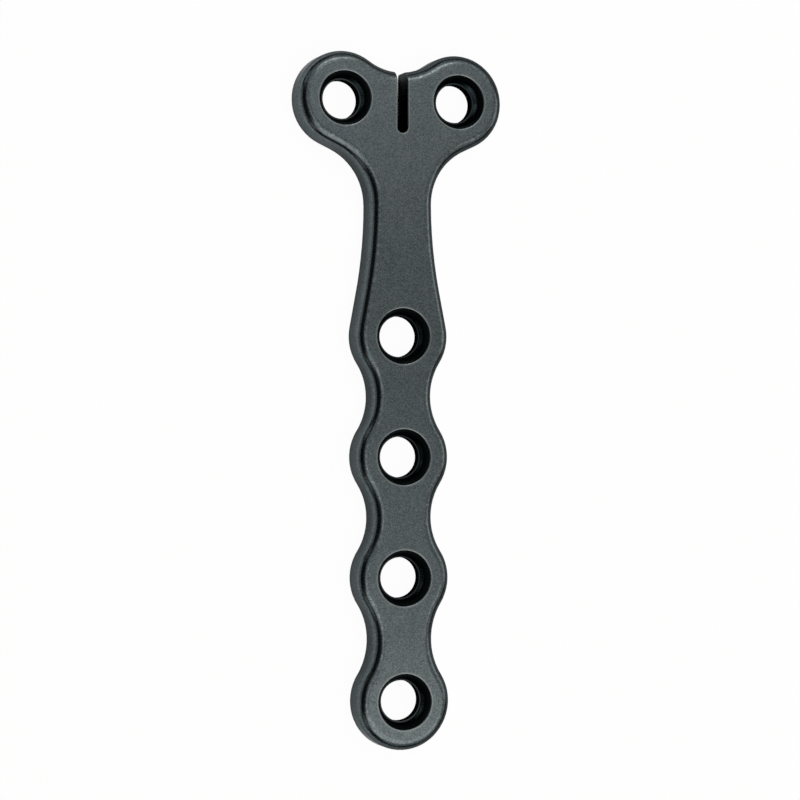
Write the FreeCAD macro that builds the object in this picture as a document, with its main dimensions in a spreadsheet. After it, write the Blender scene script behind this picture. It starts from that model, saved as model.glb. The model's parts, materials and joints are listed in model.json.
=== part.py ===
"""Bone plate: a flat Y-shaped plate with four holes down the shaft, two in the head and a slot between them.

The plate lies in the XY plane with its underside on Z = 0 and its head towards +Y.
Sketches are drawn from the first shaft hole, the one nearest the head, and the body's Placement
then brings the middle of the plate's box to the origin.
"""
import FreeCAD, Part
import math
import os
import Sketcher

OUTPUT_FOLDER = "parts"
NODE = "bone_plate"

# Shaft holes at the even pitch, before the end hole
EVEN_HOLES = 3

# Driving sizes in millimetres, and one angle in degrees
SIZES = {
    "thickness": 3.2,
    "screw_pitch": 13.0,
    "end_pitch": 13.25,
    "head_reach": 25.4,
    "head_spread": 12.92,
    "lobe_radius": 5.25,
    "waist_width": 6.66,
    "flank_run": 3.9,
    "neck_width": 7.04,
    "shoulder_radius": 6.5,
    "shoulder_run": 1.5,
    "head_lobe_radius": 5.12,
    "saddle_rise": 3.08,
    "top_edge_radius": 1.15,
    "lower_edge_radius": 0.25,
    "edge_break": 0.12,
    "slot_width": 1.15,
    "slot_depth": 6.6,
    "shaft_bore_radius": 2.2,
    "shaft_seat_depth": 1.62,
    "shaft_ball_radius": 2.98,
    "head_bore_radius": 2.09,
    "head_seat_depth": 1.56,
    "head_ball_radius": 2.89,
    "seat_ledge": 0.15,
    "exit_break": 0.27,
    "exit_angle": 45.0,
    "hollow_depth": 0.2,
    "hollow_radius": 50.0,
    "hollow_reach": 7.0,
    "tool_clearance": 2.0,
}

# Sizes that follow from the driving ones, so that neighbouring arcs stay tangent
FORMULAS = {
    "waist_half": "waist_width / 2",
    "neck_half": "neck_width / 2",
    "head_half": "head_spread / 2",
    "even_run": f"{EVEN_HOLES - 1} * screw_pitch",
    "end_hole_level": "-even_run - end_pitch",
    "mouth_level": "head_reach + saddle_rise",
    "waist_radius": "(waist_half^2 + (screw_pitch / 2)^2 - lobe_radius^2)"
                    " / (2 * (lobe_radius - waist_half))",
    "end_waist_radius": "(waist_half^2 + (end_pitch / 2)^2 - lobe_radius^2)"
                        " / (2 * (lobe_radius - waist_half))",
    "neck_level": "head_reach - sqrt((shoulder_radius + head_lobe_radius)^2 + shoulder_run^2"
                  " - (neck_half + shoulder_radius - head_half)^2)",
    "neck_radius": "(neck_half^2 - lobe_radius^2 + neck_level^2 - flank_run^2)"
                   " / (2 * (lobe_radius - neck_half))",
    "saddle_radius": "(head_half^2 + saddle_rise^2 - head_lobe_radius^2)"
                     " / (2 * (head_lobe_radius - saddle_rise))",
    "slot_end_level": "mouth_level - slot_depth + slot_width / 2",
    "shaft_bore_top": "thickness - shaft_seat_depth",
    "head_bore_top": "thickness - head_seat_depth",
    "shaft_bore_end": "hollow_depth + exit_break",
    "head_bore_end": "exit_break",
    "box_shift": "(lobe_radius - end_hole_level - head_reach - head_lobe_radius) / 2",
}

# How near two measures must be to count as the same
TOLERANCE = 1e-4
SAMPLE_SHARES = (0.0, 0.25, 0.5, 0.75, 1.0)
FULL_TURN = 360


def fillSheet(doc):
    """Write every size to the sheet under its own name and return a reader for the values."""
    sheet = doc.addObject("Spreadsheet::Sheet", "sizes")
    row = 1
    for name, value in SIZES.items():
        sheet.set(f"A{row}", name)
        sheet.set(f"B{row}", str(value))
        sheet.setAlias(f"B{row}", name)
        row += 1
    for name, formula in FORMULAS.items():
        sheet.set(f"A{row}", name)
        sheet.set(f"B{row}", "=" + formula)
        sheet.setAlias(f"B{row}", name)
        row += 1
    doc.recompute()
    return lambda name: float(sheet.get(name))


def addLine(sketch, start, end):
    return sketch.addGeometry(Part.LineSegment(FreeCAD.Vector(*start, 0), FreeCAD.Vector(*end, 0)), False)


def addArc(sketch, centre, start, end):
    """Add the anticlockwise arc from start to end about centre."""
    radius = math.dist(centre, start)
    first = math.atan2(start[1] - centre[1], start[0] - centre[0])
    last = math.atan2(end[1] - centre[1], end[0] - centre[0])
    if last < first:
        last += 2 * math.pi
    circle = Part.Circle(FreeCAD.Vector(*centre, 0), FreeCAD.Vector(0, 0, 1), radius)
    return sketch.addGeometry(Part.ArcOfCircle(circle, first, last), False)


def constrain(sketch, *definition):
    return sketch.addConstraint(Sketcher.Constraint(*definition))


def bind(sketch, name, expression, *definition):
    """Add a dimension under a name of its own and tie it to the sheet."""
    index = constrain(sketch, *definition)
    sketch.renameConstraint(index, name)
    sketch.setExpression("Constraints." + name, expression)


def along(start, end, distance):
    """The point at a distance from start on the way to end."""
    share = distance / math.dist(start, end)
    return (start[0] + share * (end[0] - start[0]), start[1] + share * (end[1] - start[1]))


def crossTangent(centre, radius, other_centre, other_radius, side):
    """Where the tangent line that passes between two circles touches each of them.

    side is 1 when the touching points lie anticlockwise of the line of centres, else -1.
    """
    distance = math.dist(centre, other_centre)
    direction = math.atan2(other_centre[1] - centre[1], other_centre[0] - centre[0])
    turn = direction + side * math.acos((radius + other_radius) / distance)
    normal = (math.cos(turn), math.sin(turn))
    touch = (centre[0] + radius * normal[0], centre[1] + radius * normal[1])
    other_touch = (other_centre[0] - other_radius * normal[0], other_centre[1] - other_radius * normal[1])
    return touch, other_touch


def drawOutline(sketch, size):
    """Draw the right half of the plate: lobes, waists, neck, shoulder, head lobe and saddle."""
    lobe_radius = size("lobe_radius")
    even_levels = [-step * size("screw_pitch") for step in reversed(range(EVEN_HOLES))]
    lobe_levels = [size("end_hole_level")] + even_levels
    waist_radii = [size("end_waist_radius")] + [size("waist_radius")] * (EVEN_HOLES - 1)

    # Lobes and waists of the shaft, from the end hole up to the first hole
    start = (0.0, lobe_levels[0] - lobe_radius)
    lobes = []
    waists = []
    for level, next_level, waist_radius in zip(lobe_levels, lobe_levels[1:], waist_radii):
        centre = (0.0, level)
        waist_centre = (size("waist_half") + waist_radius, (level + next_level) / 2)
        touch = along(centre, waist_centre, lobe_radius)
        next_touch = along((0.0, next_level), waist_centre, lobe_radius)
        lobes.append(addArc(sketch, centre, start, touch))
        waists.append(addArc(sketch, waist_centre, next_touch, touch))
        start = next_touch

    # First lobe, straight flank and the long hollow arc up to the neck
    neck = (size("neck_half"), size("neck_level"))
    neck_centre = (neck[0] + size("neck_radius"), neck[1])
    flank_start, flank_end = crossTangent((0.0, 0.0), lobe_radius, neck_centre, size("neck_radius"), -1)
    lobes.append(addArc(sketch, (0.0, 0.0), start, flank_start))
    flank = addLine(sketch, flank_start, flank_end)
    neck_arc = addArc(sketch, neck_centre, neck, flank_end)

    # Shoulder, head lobe and the saddle between the two head lobes
    shoulder_centre = (neck[0] + size("shoulder_radius"), neck[1])
    head_centre = (size("head_half"), size("head_reach"))
    run_start, run_end = crossTangent(shoulder_centre, size("shoulder_radius"),
                                      head_centre, size("head_lobe_radius"), 1)
    saddle_centre = (0.0, size("mouth_level") + size("saddle_radius"))
    saddle_touch = along(head_centre, saddle_centre, size("head_lobe_radius"))
    mouth = (0.0, size("mouth_level"))
    shoulder = addArc(sketch, shoulder_centre, run_start, neck)
    run = addLine(sketch, run_start, run_end)
    head_lobe = addArc(sketch, head_centre, run_end, saddle_touch)
    saddle = addArc(sketch, saddle_centre, mouth, saddle_touch)
    middle = addLine(sketch, mouth, (0.0, lobe_levels[0] - lobe_radius))

    # Each piece runs smoothly into the next; 1 is a start point, 2 an end point, 3 a centre
    for lobe, waist, next_lobe in zip(lobes, waists, lobes[1:]):
        constrain(sketch, "Tangent", lobe, 2, waist, 2)
        constrain(sketch, "Tangent", waist, 1, next_lobe, 1)
    constrain(sketch, "Tangent", lobes[-1], 2, flank, 1)
    constrain(sketch, "Tangent", flank, 2, neck_arc, 2)
    constrain(sketch, "Tangent", neck_arc, 1, shoulder, 2)
    constrain(sketch, "Tangent", shoulder, 1, run, 1)
    constrain(sketch, "Tangent", run, 2, head_lobe, 1)
    constrain(sketch, "Tangent", head_lobe, 2, saddle, 2)
    constrain(sketch, "Coincident", saddle, 1, middle, 1)
    constrain(sketch, "Coincident", middle, 2, lobes[0], 1)
    constrain(sketch, "PointOnObject", middle, 1, -2)
    constrain(sketch, "PointOnObject", middle, 2, -2)

    # Hole centres and radii
    bind(sketch, "lobeRadius", "sizes.lobe_radius", "Radius", lobes[0], lobe_radius)
    for lobe in lobes[1:]:
        constrain(sketch, "Equal", lobes[0], lobe)
    constrain(sketch, "Coincident", lobes[-1], 3, -1, 1)
    for lobe in lobes[:-1]:
        constrain(sketch, "PointOnObject", lobe, 3, -2)
    bind(sketch, "endPitch", "sizes.end_pitch", "DistanceY", lobes[0], 3, lobes[1], 3, size("end_pitch"))
    bind(sketch, "endWaist", "sizes.end_waist_radius", "Radius", waists[0], size("end_waist_radius"))
    for number, (lobe, next_lobe, waist) in enumerate(zip(lobes[1:], lobes[2:], waists[1:]), 1):
        bind(sketch, f"pitch{number}", "sizes.screw_pitch",
             "DistanceY", lobe, 3, next_lobe, 3, size("screw_pitch"))
        bind(sketch, f"waist{number}", "sizes.waist_radius", "Radius", waist, size("waist_radius"))

    # Neck, shoulder and head
    bind(sketch, "flankRun", "sizes.flank_run", "Distance", flank, size("flank_run"))
    constrain(sketch, "Horizontal", neck_arc, 1, neck_arc, 3)
    bind(sketch, "neckHalf", "sizes.neck_half", "DistanceX", -1, 1, neck_arc, 1, size("neck_half"))
    bind(sketch, "shoulder", "sizes.shoulder_radius", "Radius", shoulder, size("shoulder_radius"))
    bind(sketch, "shoulderRun", "sizes.shoulder_run", "Distance", run, size("shoulder_run"))
    bind(sketch, "headRadius", "sizes.head_lobe_radius", "Radius", head_lobe, size("head_lobe_radius"))
    bind(sketch, "headHalf", "sizes.head_half", "DistanceX", -1, 1, head_lobe, 3, size("head_half"))
    bind(sketch, "headReach", "sizes.head_reach", "DistanceY", -1, 1, head_lobe, 3, size("head_reach"))
    constrain(sketch, "PointOnObject", saddle, 3, -2)
    bind(sketch, "mouthLevel", "sizes.mouth_level", "DistanceY", -1, 1, saddle, 1, size("mouth_level"))


def drawSeat(sketch, size, kind):
    """Draw half the section of a screw hole: exit cone, bore, ledge, ball seat and the way out above.

    The sketch's upright axis is the hole's own axis, and kind is shaft or head.
    """
    ball = size(kind + "_ball_radius")
    bore = size(kind + "_bore_radius")
    bore_top = size(kind + "_bore_top")
    bore_end = size(kind + "_bore_end")
    ledge_edge = bore + size("seat_ledge")
    ball_level = bore_top + math.sqrt(ball ** 2 - ledge_edge ** 2)
    below = -size("tool_clearance")
    above = size("thickness") + ball
    mouth = bore + (bore_end - below) / math.tan(math.radians(size("exit_angle")))

    floor = addLine(sketch, (0.0, below), (mouth, below))
    cone = addLine(sketch, (mouth, below), (bore, bore_end))
    wall = addLine(sketch, (bore, bore_end), (bore, bore_top))
    ledge = addLine(sketch, (bore, bore_top), (ledge_edge, bore_top))
    seat = addArc(sketch, (0.0, ball_level), (ledge_edge, bore_top), (ball, ball_level))
    way_out = addLine(sketch, (ball, ball_level), (ball, above))
    lid = addLine(sketch, (ball, above), (0.0, above))
    axis = addLine(sketch, (0.0, above), (0.0, below))
    pieces = [floor, cone, wall, ledge, seat]
    for piece, next_piece in zip(pieces, pieces[1:]):
        constrain(sketch, "Coincident", piece, 2, next_piece, 1)
    constrain(sketch, "Tangent", seat, 2, way_out, 1)
    constrain(sketch, "Coincident", way_out, 2, lid, 1)
    constrain(sketch, "Coincident", lid, 2, axis, 1)
    constrain(sketch, "Coincident", axis, 2, floor, 1)
    for level_piece in (floor, ledge, lid):
        constrain(sketch, "Horizontal", level_piece)
    for upright_piece in (wall, way_out):
        constrain(sketch, "Vertical", upright_piece)
    for piece, point in ((axis, 1), (axis, 2), (seat, 3)):
        constrain(sketch, "PointOnObject", piece, point, -2)

    bind(sketch, "ball", f"sizes.{kind}_ball_radius", "Radius", seat, ball)
    bind(sketch, "bore", f"sizes.{kind}_bore_radius", "DistanceX", -1, 1, wall, 1, bore)
    bind(sketch, "ledge", "sizes.seat_ledge", "Distance", ledge, size("seat_ledge"))
    bind(sketch, "boreTop", f"sizes.{kind}_bore_top", "DistanceY", -1, 1, wall, 2, bore_top)
    bind(sketch, "boreEnd", f"sizes.{kind}_bore_end", "DistanceY", -1, 1, wall, 1, bore_end)
    bind(sketch, "exitAngle", "sizes.exit_angle",
         "Angle", cone, 1, floor, 2, math.radians(size("exit_angle")))
    bind(sketch, "below", "sizes.tool_clearance", "DistanceY", floor, 1, -1, 1, -below)
    bind(sketch, "above", f"sizes.thickness + sizes.{kind}_ball_radius",
         "DistanceY", -1, 1, lid, 1, above)


def drawHollow(sketch, size):
    """Draw half the section of the long round-ended tool that leaves the underside hollow."""
    radius = size("hollow_radius")
    tail = size("end_hole_level") - size("lobe_radius") - size("tool_clearance")
    reach = size("hollow_reach")
    tail_end = addLine(sketch, (tail, 0.0), (tail, radius))
    crest = addLine(sketch, (tail, radius), (reach, radius))
    nose = addArc(sketch, (reach, 0.0), (reach + radius, 0.0), (reach, radius))
    axis = addLine(sketch, (reach + radius, 0.0), (tail, 0.0))
    constrain(sketch, "Coincident", tail_end, 2, crest, 1)
    constrain(sketch, "Tangent", crest, 2, nose, 2)
    constrain(sketch, "Coincident", nose, 1, axis, 1)
    constrain(sketch, "Coincident", axis, 2, tail_end, 1)
    constrain(sketch, "Vertical", tail_end)
    constrain(sketch, "Horizontal", crest)
    constrain(sketch, "PointOnObject", axis, 1, -1)
    constrain(sketch, "PointOnObject", axis, 2, -1)
    constrain(sketch, "PointOnObject", nose, 3, -1)
    bind(sketch, "hollowRadius", "sizes.hollow_radius", "Radius", nose, radius)
    bind(sketch, "reach", "sizes.hollow_reach", "DistanceX", -1, 1, nose, 3, reach)
    bind(sketch, "tail", "sizes.lobe_radius + sizes.tool_clearance - sizes.end_hole_level",
         "DistanceX", axis, 2, -1, 1, -tail)


def drawSlot(sketch, size):
    """Draw the slot: two straight walls, a round lower end, and an open top past the saddle."""
    half = size("slot_width") / 2
    low = size("slot_end_level")
    top = size("mouth_level") + size("head_lobe_radius")
    right = addLine(sketch, (half, low), (half, top))
    lid = addLine(sketch, (half, top), (-half, top))
    left = addLine(sketch, (-half, top), (-half, low))
    end = addArc(sketch, (0.0, low), (-half, low), (half, low))
    constrain(sketch, "Coincident", right, 2, lid, 1)
    constrain(sketch, "Coincident", lid, 2, left, 1)
    constrain(sketch, "Tangent", left, 2, end, 1)
    constrain(sketch, "Tangent", end, 2, right, 1)
    constrain(sketch, "Horizontal", lid)
    constrain(sketch, "Vertical", right)
    constrain(sketch, "Vertical", left)
    constrain(sketch, "PointOnObject", end, 3, -2)
    bind(sketch, "slotHalf", "sizes.slot_width / 2", "Radius", end, half)
    bind(sketch, "slotEnd", "sizes.slot_end_level", "DistanceY", -1, 1, end, 3, low)
    bind(sketch, "slotTop", "sizes.mouth_level + sizes.head_lobe_radius", "DistanceY", -1, 1, lid, 1, top)


def originFeature(body, role):
    return next(feature for feature in body.Origin.OriginFeatures if feature.Role == role)


def newSketch(body, name, plane):
    sketch = body.newObject("Sketcher::SketchObject", name)
    sketch.AttachmentSupport = [(originFeature(body, plane), "")]
    sketch.MapMode = "FlatFace"
    return sketch


def addGroove(body, sketch, axis):
    """Turn the section once round one of its sketch's axes and cut it away."""
    body.Document.recompute()
    groove = body.newObject("PartDesign::Groove", sketch.Name + "Cut")
    groove.Profile = sketch
    groove.ReferenceAxis = (sketch, [axis])
    groove.Angle = FULL_TURN
    body.Document.recompute()
    return groove


def addMirror(body, name, original):
    """Repeat a feature on the other side of the plate's middle plane."""
    mirrored = body.newObject("PartDesign::Mirrored", name)
    mirrored.Originals = [original]
    mirrored.MirrorPlane = (originFeature(body, "YZ_Plane"), [""])
    body.Tip = mirrored
    body.Document.recompute()
    return mirrored


def addFillet(body, name, base, rule, radius_name):
    """Round every edge of base that the rule picks."""
    edges = [f"Edge{index}" for index, edge in enumerate(base.Shape.Edges, 1) if rule(edge)]
    fillet = body.newObject("PartDesign::Fillet", name)
    fillet.Base = (base, edges)
    fillet.setExpression("Radius", "sizes." + radius_name)
    body.Document.recompute()
    return fillet


def samples(edge):
    first, last = edge.FirstParameter, edge.LastParameter
    return [edge.valueAt(first + share * (last - first)) for share in SAMPLE_SHARES]


def liesAt(edge, level):
    return all(abs(point.z - level) < TOLERANCE for point in samples(edge))


def isRim(edge, size):
    """Tell whether an edge is a hole's full circle in the top face."""
    return liesAt(edge, size("thickness")) and edge.isClosed()


def isSlotEdge(edge, size):
    """Tell whether an edge bounds the slot, apart from the seams and the lower edge of its round end."""
    half = size("slot_width") / 2
    low = size("slot_end_level")
    points = samples(edge)
    on_walls = all(abs(abs(point.x) - half) < TOLERANCE for point in points)
    on_seam = all(abs(point.y - low) < TOLERANCE for point in points)
    on_round_end = all(abs(math.hypot(point.x, point.y - low) - half) < TOLERANCE for point in points)
    return (on_walls and not on_seam) or (on_round_end and liesAt(edge, size("thickness")))


def buildBlank(body, size):
    """The solid blank: half the outline padded and mirrored, then its upper and lower rims rounded."""
    outline = newSketch(body, "outline", "XY_Plane")
    drawOutline(outline, size)
    blank = body.newObject("PartDesign::Pad", "blank")
    blank.Profile = outline
    blank.setExpression("Length", "sizes.thickness")
    body.Document.recompute()
    whole = addMirror(body, "wholeBlank", blank)
    upper_rim = addFillet(body, "upperRim", whole,
                          lambda edge: liesAt(edge, size("thickness")), "top_edge_radius")
    lower_rim = addFillet(body, "lowerRim", upper_rim, lambda edge: liesAt(edge, 0.0), "lower_edge_radius")
    return [whole, upper_rim, lower_rim]


def cutHollow(body, size):
    """The shallow hollow under the shaft, which runs out below the neck."""
    hollow = newSketch(body, "hollow", "YZ_Plane")
    hollow.setExpression("AttachmentOffset.Base.y", "sizes.hollow_depth - sizes.hollow_radius")
    drawHollow(hollow, size)
    return [addGroove(body, hollow, "H_Axis")]


def cutShaftHoles(body, size):
    """The evenly spaced shaft holes, then the end hole at its own pitch."""
    seat = newSketch(body, "shaftSeat", "YZ_Plane")
    drawSeat(seat, size, "shaft")
    first_hole = addGroove(body, seat, "V_Axis")
    even_holes = body.newObject("PartDesign::LinearPattern", "evenHoles")
    even_holes.Originals = [first_hole]
    even_holes.Direction = (originFeature(body, "Y_Axis"), [""])
    even_holes.Reversed = True
    even_holes.Occurrences = EVEN_HOLES
    even_holes.setExpression("Length", "sizes.even_run")
    body.Tip = even_holes
    body.Document.recompute()
    end_seat = newSketch(body, "endSeat", "YZ_Plane")
    end_seat.setExpression("AttachmentOffset.Base.x", "sizes.end_hole_level")
    drawSeat(end_seat, size, "shaft")
    return [first_hole, even_holes, addGroove(body, end_seat, "V_Axis")]


def cutHeadHoles(body, size):
    """The pair of smaller holes in the head lobes."""
    head_seat = newSketch(body, "headSeat", "XZ_Plane")
    head_seat.setExpression("AttachmentOffset.Base.x", "sizes.head_half")
    head_seat.setExpression("AttachmentOffset.Base.z", "-sizes.head_reach")
    drawSeat(head_seat, size, "head")
    head_hole = addGroove(body, head_seat, "V_Axis")
    return [head_hole, addMirror(body, "headHoles", head_hole)]


def cutSlot(body, size):
    """The slot from the saddle down between the head lobes."""
    slot = newSketch(body, "slot", "XY_Plane")
    drawSlot(slot, size)
    slot_cut = body.newObject("PartDesign::Pocket", "slotCut")
    slot_cut.Profile = slot
    slot_cut.Type = "ThroughAll"
    slot_cut.Midplane = True
    body.Document.recompute()
    return [slot_cut]


def buildPlate(doc, size):
    """Build the plate and return it with its features in the order they take material away."""
    body = doc.addObject("PartDesign::Body", "Plate")
    body.Label = NODE
    body.setExpression("Placement.Base.y", "sizes.box_shift")
    steps = buildBlank(body, size)
    steps += cutHollow(body, size)
    steps += cutShaftHoles(body, size)
    steps += cutHeadHoles(body, size)
    steps += cutSlot(body, size)
    steps.append(addFillet(body, "edgeBreaks", steps[-1],
                           lambda edge: isRim(edge, size) or isSlotEdge(edge, size), "edge_break"))
    return body, steps


def checkDocument(doc, body, steps):
    """Stop if a feature failed, a sketch is loose, a cut removed nothing or the solid isn't sound."""
    for feature in doc.Objects:
        faults = {"Invalid", "Error"} & set(feature.State)
        if faults:
            raise RuntimeError(f"{feature.Name} is {faults}")
    for sketch in doc.findObjects("Sketcher::SketchObject"):
        if not sketch.FullyConstrained:
            raise RuntimeError(f"{sketch.Name} is loose")
    for before, after in zip(steps, steps[1:]):
        if after.Shape.Volume > before.Shape.Volume - TOLERANCE:
            raise RuntimeError(f"{after.Name} removed nothing")
    if body.Shape.isNull() or not body.Shape.isValid() or len(body.Shape.Solids) != 1:
        raise RuntimeError("the plate isn't one sound solid")


def main():
    doc = FreeCAD.newDocument("BonePlate")
    size = fillSheet(doc)
    body, steps = buildPlate(doc, size)
    checkDocument(doc, body, steps)
    os.makedirs(OUTPUT_FOLDER, exist_ok=True)
    body.Shape.exportStep(f"{OUTPUT_FOLDER}/{body.Label}.step")
    box = body.Shape.optimalBoundingBox(False)
    print(f"{body.Label}: {box.XLength:.2f} x {box.YLength:.2f} x {box.ZLength:.2f} mm, "
          f"{body.Shape.Volume:.1f} mm3, {len(body.Shape.Faces)} faces")


main()
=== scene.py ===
import json
import math
import bpy
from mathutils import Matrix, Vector


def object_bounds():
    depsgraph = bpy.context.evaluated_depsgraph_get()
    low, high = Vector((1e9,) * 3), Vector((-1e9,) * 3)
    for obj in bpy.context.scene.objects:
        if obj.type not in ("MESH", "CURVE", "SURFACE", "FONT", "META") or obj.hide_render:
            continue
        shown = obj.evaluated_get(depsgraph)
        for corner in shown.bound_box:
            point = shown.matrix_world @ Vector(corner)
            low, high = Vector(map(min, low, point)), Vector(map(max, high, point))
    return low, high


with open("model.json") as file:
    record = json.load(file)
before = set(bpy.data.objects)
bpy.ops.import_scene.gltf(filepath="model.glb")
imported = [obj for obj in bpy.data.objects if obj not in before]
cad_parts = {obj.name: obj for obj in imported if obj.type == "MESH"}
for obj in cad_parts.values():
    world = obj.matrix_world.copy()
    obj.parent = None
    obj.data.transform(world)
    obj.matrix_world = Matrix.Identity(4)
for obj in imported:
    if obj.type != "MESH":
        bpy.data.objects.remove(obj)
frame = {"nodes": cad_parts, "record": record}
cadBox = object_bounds()
plate = frame["nodes"]["bone_plate"]
screwHoles = [mount for mount in frame["record"]["mounts"] if mount["kind"] == "bore"]
print("frame: one plate with", len(screwHoles), "screw holes")

mmPerMetre = 1000.0


# One value on its way through a node tree, so that shader maths reads as a sum
class Wire:
    def __init__(self, bench, socket):
        self.bench = bench
        self.socket = socket

    def worked(self, operation, *values):
        return self.bench.add("ShaderNodeMath", {"operation": operation}, dict(enumerate(values)))

    def __add__(self, other):
        return self.worked("ADD", self, other)

    def __sub__(self, other):
        return self.worked("SUBTRACT", self, other)

    def __rsub__(self, other):
        return self.worked("SUBTRACT", other, self)

    def __mul__(self, other):
        return self.worked("MULTIPLY", self, other)

    def __pow__(self, other):
        return self.worked("POWER", self, other)

    def __abs__(self):
        return self.worked("ABSOLUTE", self)

    __radd__ = __add__
    __rmul__ = __mul__

    def least(self, other):
        return self.worked("MINIMUM", self, other)

    def most(self, other):
        return self.worked("MAXIMUM", self, other)

    def sine(self):
        return self.worked("SINE", self)

    # 0 at start, 1 at end, with a soft step between, whichever is larger
    def fade(self, start, end):
        return self.bench.add("ShaderNodeMapRange", {"interpolation_type": "SMOOTHSTEP"},
                              {"Value": self, "From Min": start, "From Max": end})


# Adds nodes to one tree: settings first, then numbers or links for the sockets
class Bench:
    def __init__(self, tree):
        self.tree = tree
        tree.nodes.clear()

    def add(self, kind, settings=None, sockets=None, out=0):
        node = self.tree.nodes.new(kind)
        for name, value in (settings or {}).items():
            setattr(node, name, value)
        for name, value in (sockets or {}).items():
            if isinstance(value, Wire):
                self.tree.links.new(value.socket, node.inputs[name])
            else:
                node.inputs[name].default_value = value
        return Wire(self, node.outputs[out] if len(node.outputs) else None)

    def noise(self, place, scale, detail):
        return self.add("ShaderNodeTexNoise", None, {"Vector": place, "Scale": scale, "Detail": detail})

    # One number of a vector: 0 for x, 1 for y, 2 for z
    def part(self, vector, axis):
        return self.add("ShaderNodeSeparateXYZ", None, {0: vector}, out=axis)

    # Two colours mixed by a value from 0 to 1
    def tint(self, share, first, second):
        return self.add("ShaderNodeMix", {"data_type": "RGBA"}, {0: share, 6: first, 7: second}, out=2)

    # Two shaders mixed in the same way, the first one black if it is None
    def blend(self, share, first, second):
        shaders = {0: share, 2: second} if first is None else {0: share, 1: first, 2: second}
        return self.add("ShaderNodeMixShader", None, shaders)


# Lengths in mm. A fade is a pair: where an effect begins, and where it is full
titanium = {
    "blasted": (0.0370, 0.0500, 0.0552, 1),   # even dark grey of the faces
    "pale": (0.1206, 0.1505, 0.1628, 1),      # tips of the blasted grain
    "warm": (0.1395, 0.1505, 0.1490, 1),      # some of those tips, where the oxide is thinner
    "seat": (0.180, 0.222, 0.236, 1),         # ball seats, polished by the tool
    "turned": (0.100, 0.125, 0.133, 1),       # bores under the seats
    "step": (0.012, 0.014, 0.015, 1),         # painted shade in the step where seat and bore meet
    "worn": (0.155, 0.173, 0.177, 1),         # edges where the oxide has thinned, paler still as a painted highlight
    "grazing": (0.5, 0.5, 0.5, 1),            # the grain shades itself at a flat angle
    "roughness": 0.22,
    "roughnessSwing": 0.16,                   # how far the grain moves it
    "smootherInHoles": 0.09,

    "grainPerMm": 9.0,
    "grainDetail": 3.0,
    "grainFade": (0.34, 0.66),
    "grainShare": 0.36,                       # of the speckle, with the pits' and clouds' shares
    "grainHeight": 0.001,
    "pitsPerMm": 8.0,
    "pitShare": 0.46,
    "cloudsPerMm": 0.35,
    "cloudDetail": 3.0,
    "cloudFade": (0.3, 0.7),
    "cloudShare": 0.06,
    "warmPerMm": 6.3,
    "warmDetail": 1.0,
    "warmFade": (0.38, 0.62),

    "seatOverBore": 0.785,                    # how far the ball seat's rim stands outside its bore
    "insideRimFade": (0.01, -0.03),
    "stepBlur": 0.05,                         # above and below the step
    "stepShare": 0.9,
    "seatFade": (0.05, 0.3),                  # up from the step
    "ringPitch": 0.07,                        # turning marks
    "ringHeight": 0.0008,

    "slotHalf": 0.575,
    "slotEnd": 29.45,                         # middle of the slot's round end
    "wornFrom": 0.12,                         # from a rim or the slot to the middle of its line of wear and painted highlight
    "wornFade": (0.14, 0.04),
    "wornDepthFade": (0.35, 0.15),            # down from the top face
    "wornShare": 0.65,
    "patchesPerMm": 2.2,
    "patchDetail": 2.0,
    "wornPatchFade": (0.1, 0.5),
    "shoulderFade": (0.88, 0.95),             # by how much the rounded edge faces up
    "flatFade": (0.998, 0.985),
    "rubsPerMm": 2.6,
    "rubDetail": 3.0,
    "rubFade": (0.50, 0.60),
    "rubPatchFade": (0.35, 0.55),
    "rubShare": 0.6,
}


# How far a point lies outside the rim of the nearest ball seat, in mm
def distanceFromRims(across, along):
    nearest = None
    for hole in screwHoles:
        axisX, axisY = (mmPerMetre * value for value in hole["pos_m"][:2])
        rim = hole["dims"]["r_mm"] + titanium["seatOverBore"]
        sideways, lengthways = across - axisX, along - axisY
        outside = (sideways * sideways + lengthways * lengthways) ** 0.5 - rim
        nearest = outside if nearest is None else nearest.least(outside)
    return nearest


# How far a point lies outside the slot, its round end included, in mm
def distanceFromSlot(across, along):
    belowEnd = (along - titanium["slotEnd"]).least(0.0)
    return (across * across + belowEnd * belowEnd) ** 0.5 - titanium["slotHalf"]


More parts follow.
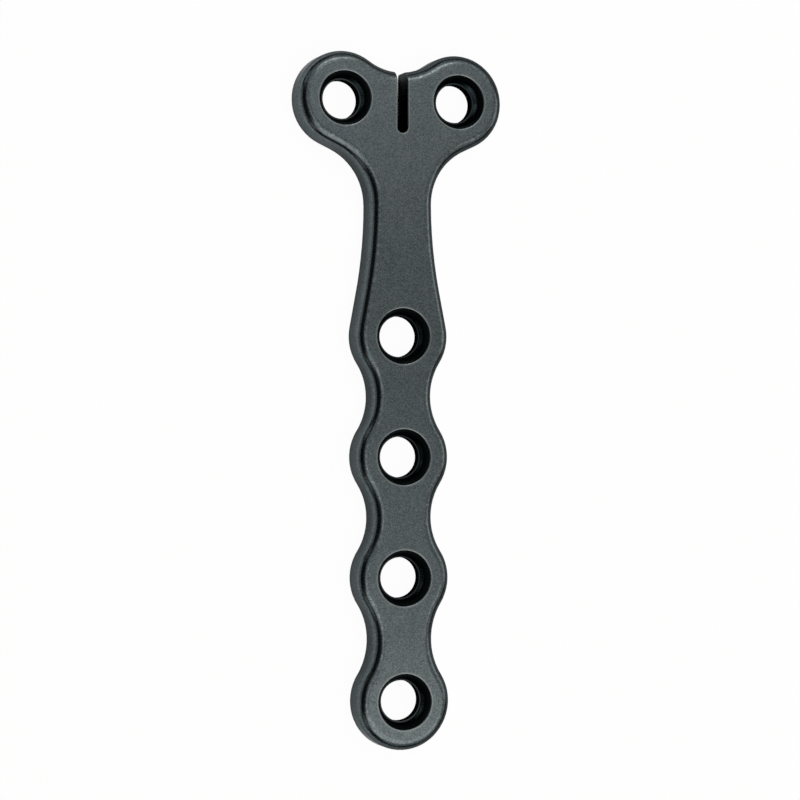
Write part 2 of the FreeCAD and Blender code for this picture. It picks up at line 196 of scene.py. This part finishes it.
def makeTitanium():
    look = titanium
    material = bpy.data.materials.new("anodisedTitanium")
    material.use_nodes = True
    bench = Bench(material.node_tree)
    point = bench.add("ShaderNodeTexCoord", out="Object")
    place = bench.add("ShaderNodeVectorMath", {"operation": "SCALE"}, {0: point, "Scale": mmPerMetre})
    across, along, up = (bench.part(place, axis) for axis in range(3))
    facing = bench.part(bench.add("ShaderNodeTexCoord", out="Normal"), 2)

    # Blasted grain, with pits and slow clouds in it
    grain = bench.noise(place, look["grainPerMm"], look["grainDetail"])
    clouds = bench.noise(place, look["cloudsPerMm"], look["cloudDetail"])
    pit = bench.add("ShaderNodeTexVoronoi", None, {"Vector": place, "Scale": look["pitsPerMm"]}, out="Color")
    depth = bench.add("ShaderNodeSeparateColor", None, {0: pit})
    speckle = (grain.fade(*look["grainFade"]) * look["grainShare"] + depth * look["pitShare"]
               + clouds.fade(*look["cloudFade"]) * look["cloudShare"])
    warmth = bench.noise(place, look["warmPerMm"], look["warmDetail"]).fade(*look["warmFade"])
    blasted = bench.tint(speckle, look["blasted"], bench.tint(warmth, look["pale"], look["warm"]))

    # Inside the holes: bore, step darkened with painted shade, and ball seat. The steps' heights are where
    # the bores end
    steps = [mmPerMetre * hole["pos_m"][2] + hole["dims"]["length_mm"] / 2 for hole in screwHoles]
    lowStep, highStep = min(steps), max(steps)
    halfStep = (highStep - lowStep) / 2
    fromRim = distanceFromRims(across, along)
    inHole = fromRim.fade(*look["insideRimFade"])
    onStep = abs(up - (lowStep + highStep) / 2).fade(halfStep + look["stepBlur"], halfStep)
    inSeat = up.fade(*(highStep + height for height in look["seatFade"]))
    smooth = bench.tint(inSeat, look["turned"], look["seat"])
    finish = bench.tint(inHole, blasted, bench.tint(onStep * look["stepShare"], smooth, look["step"]))

    # Lines of wear and painted highlight round the rims and the slot, and rubbed spots with painted glints
    # on the shoulder of the rounded edge, where it catches the light
    top = mmPerMetre * cadBox[1].z
    nearTop = up.fade(*(top - height for height in look["wornDepthFade"]))
    patches = bench.noise(place, look["patchesPerMm"], look["patchDetail"])
    rimLine, slotLine = (abs(distance - look["wornFrom"]).fade(*look["wornFade"])
                         for distance in (fromRim, distanceFromSlot(across, along)))
    worn = rimLine.most(slotLine) * nearTop * patches.fade(*look["wornPatchFade"])
    shoulder = facing.fade(*look["shoulderFade"]) * facing.fade(*look["flatFade"]) * (1 - inHole)
    rubsAndGlints = (bench.noise(place, look["rubsPerMm"], look["rubDetail"]).fade(*look["rubFade"])
            * patches.fade(*look["rubPatchFade"]))
    wearAndHighlight = worn * look["wornShare"] + shoulder * rubsAndGlints * look["rubShare"]
    # The paler colour here is partly wear, partly a painted highlight
    colour = bench.tint(wearAndHighlight, finish, look["worn"])
    roughness = (look["roughness"] + (grain - 0.5) * look["roughnessSwing"]
                 - inHole * look["smootherInHoles"])

    # Bumps: grain everywhere, turning marks inside the holes
    grainBump = bench.add("ShaderNodeBump", None,
                          {"Height": grain, "Distance": look["grainHeight"] / mmPerMetre,
                           "Strength": 1.0})
    rings = (up * (2 * math.pi / look["ringPitch"])).sine() * inHole
    ringBump = bench.add("ShaderNodeBump", None,
                         {"Height": rings, "Distance": look["ringHeight"] / mmPerMetre,
                          "Strength": 1.0, "Normal": grainBump})
    shader = bench.add("ShaderNodeBsdfPrincipled", None,
                       {"Base Color": colour, "Metallic": 1.0, "Roughness": roughness,
                        "Normal": ringBump, "Specular Tint": look["grazing"]})
    bench.add("ShaderNodeOutputMaterial", None, {"Surface": shader})
    return material


plate.data.materials[0] = makeTitanium()
print("titanium: blasted and anodised finish on the plate")


# Metres, apart from what says mm
studio = {
    "floorSize": 4,
    "floorDrop": 0.00002,              # keeps the floor clear of the plate's own underside
    "floorWhite": 0.85,
    "floorSeen": 0.96,                 # share of plain white in what the camera sees, the rest is paint
    "floorGlow": 1.42,                 # how bright the metal sees the open floor
    "glowByWall": 0.61,                # what is left of that at the plate's foot, as a painted contact shadow
    "glowRight": 0.37,                 # and on the far right, away from the lamps
    "glowRightFade": (19.6, -33.2),    # mm across
    "glowInHoles": 0.03,
    "outOfHolesFade": (0.0, 0.5),      # mm from the seats' rims
    "inBoreFade": (-0.3, -0.6),
    "shadeReach": 0.02,                # how near a thing must be to shade the floor
    "shadeSamples": 16,
    "seenFade": (0.20, 0.34),          # by how open the floor is, from 0 to 1
    "footFade": (0.30, 0.42),
    "openFade": (0.53, 0.69),
    "airGlow": 0.01,
    "panelDistance": 0.35,
    # Azimuth and tilt from straight up in degrees, width, height, radiance and colour
    "panels": {
        "overheadPanel": (100.5, 26.9, 0.273, 0.584, 0.72, (1.0, 1.0, 1.0)),
        "overheadStrip": (237.5, 12.7, 0.072, 0.170, 1.02, (1.0, 1.0, 1.0)),
        "tailWash": (319.6, 41.2, 0.885, 0.371, 0.66, (1.0, 0.98, 0.96)),
        "tailPanel": (280.3, 32.4, 0.427, 0.218, 1.85, (1.0, 0.95, 0.90)),
        "headPanel": (55.9, 40.0, 0.202, 0.285, 1.03, (1.0, 0.97, 0.94)),
        "headStrip": (82.4, 42.1, 0.163, 0.074, 2.95, (1.0, 0.97, 0.94)),
        "sidePanel": (4.9, 68.2, 0.177, 0.165, 1.13, (1.0, 0.99, 0.97)),
        "lowLeftPanel": (181.4, 78.2, 0.378, 0.117, 0.67, (1.0, 1.0, 1.0)),
        "lowHeadPanel": (58.6, 69.0, 0.432, 0.114, 0.52, (1.0, 1.0, 1.0)),
        "lowCornerPanel": (135.1, 64.4, 0.111, 0.177, 0.65, (1.0, 1.0, 1.0)),
        "lowTailPanel": (224.6, 64.7, 0.097, 0.167, 0.65, (1.0, 0.99, 0.97)),
        "lowRightPanel": (310.4, 74.4, 0.143, 0.046, 0.61, (1.0, 0.99, 0.97)),
    },
}
white = (1, 1, 1, 1)


def makeFloor():
    bpy.ops.mesh.primitive_plane_add(size=studio["floorSize"])
    floor = bpy.context.object
    floor.name = "studioFloor"
    floor.location.z = -studio["floorDrop"]
    material = bpy.data.materials.new("paleFloor")
    material.use_nodes = True
    bench = Bench(material.node_tree)
    paintWhite = studio["floorWhite"]
    paint = bench.add("ShaderNodeBsdfDiffuse", None, {"Color": (paintWhite, paintWhite, paintWhite, 1)})
    light = bench.add("ShaderNodeEmission", None, {"Color": white, "Strength": studio["floorGlow"]})
    seen, reflected, through = (bench.add("ShaderNodeLightPath", out=ray) for ray in
                                ("Is Camera Ray", "Is Glossy Ray", "Is Transmission Ray"))
    openness = bench.add("ShaderNodeAmbientOcclusion", {"samples": studio["shadeSamples"]},
                         {"Distance": studio["shadeReach"]}, out="AO")
    point = bench.add("ShaderNodeTexCoord", out="Object")
    across, along = (bench.part(point, axis) * mmPerMetre for axis in range(2))
    fromRim = distanceFromRims(across, along)

    # The camera sees plain white, in the bores too, but down the slot the white is cut as a painted shadow
    shown = openness.fade(*studio["seenFade"]).most(fromRim.fade(*studio["inBoreFade"]))
    # The metal sees the floor glow where it is open, with a painted shadow in it by the wall, to the right
    # and in holes
    byWall, right, inHoles = studio["glowByWall"], studio["glowRight"], studio["glowInHoles"]
    nearby = (openness.fade(*studio["footFade"]) * byWall
              + openness.fade(*studio["openFade"]) * (1 - byWall))
    sideways = across.fade(*studio["glowRightFade"]) * (1 - right) + right
    outOfHoles = fromRim.fade(*studio["outOfHolesFade"]) * (1 - inHoles) + inHoles
    plain = (seen * shown + through) * (1 / studio["floorGlow"])
    lamp = bench.blend(plain + reflected * (nearby * outOfHoles * sideways), None, light)
    share = seen * studio["floorSeen"] + reflected + through
    bench.add("ShaderNodeOutputMaterial", None, {"Surface": bench.blend(share, paint, lamp)})
    floor.data.materials.append(material)


def addPanel(name, azimuth, tilt, width, height, radiance, colour):
    azimuth, tilt = math.radians(azimuth), math.radians(tilt)
    lamp = bpy.data.lights.new(name, "AREA")
    lamp.shape = "RECTANGLE"
    lamp.size = width
    lamp.size_y = height
    lamp.energy = math.pi * radiance * width * height
    lamp.color = colour
    panel = bpy.data.objects.new(name, lamp)
    direction = Vector((math.sin(tilt) * math.cos(azimuth), math.sin(tilt) * math.sin(azimuth),
                        math.cos(tilt)))
    panel.location = direction * studio["panelDistance"]
    panel.rotation_mode = "QUATERNION"
    panel.rotation_quaternion = direction.to_track_quat("Z", "Y")
    panel.visible_camera = False
    bpy.context.scene.collection.objects.link(panel)


# White for the camera, nearly dark for everything else
def makeWorld():
    world = bpy.data.worlds.new("studioAir")
    bpy.context.scene.world = world
    world.use_nodes = True
    bench = Bench(world.node_tree)
    seen = bench.add("ShaderNodeLightPath", out="Is Camera Ray")
    dim, bright = (bench.add("ShaderNodeBackground", None, {"Color": white, "Strength": strength})
                   for strength in (studio["airGlow"], 1.0))
    bench.add("ShaderNodeOutputWorld", None, {"Surface": bench.blend(seen, dim, bright)})


makeFloor()
for name, values in studio["panels"].items():
    addPanel(name, *values)
makeWorld()
print("studio: pale floor and", len(studio["panels"]), "soft panels")


# Turn in degrees, the rest in mm of lens and in metres
productCamera = {
    "lens": 114.594,
    "location": (-0.0911162, -0.0027659, 0.2608088),
    "turn": (0.6874, -19.3857, -0.2425),
    "nearest": 0.01,
    "farthest": 10,
}


def makeCamera():
    lens = bpy.data.cameras.new("productCamera")
    lens.lens = productCamera["lens"]
    lens.clip_start = productCamera["nearest"]
    lens.clip_end = productCamera["farthest"]
    camera = bpy.data.objects.new("productCamera", lens)
    camera.location = productCamera["location"]
    camera.rotation_euler = [math.radians(angle) for angle in productCamera["turn"]]
    bpy.context.scene.collection.objects.link(camera)
    bpy.context.scene.camera = camera


makeCamera()
bpy.context.scene.view_settings.view_transform = "Standard"
print("camera: placed")
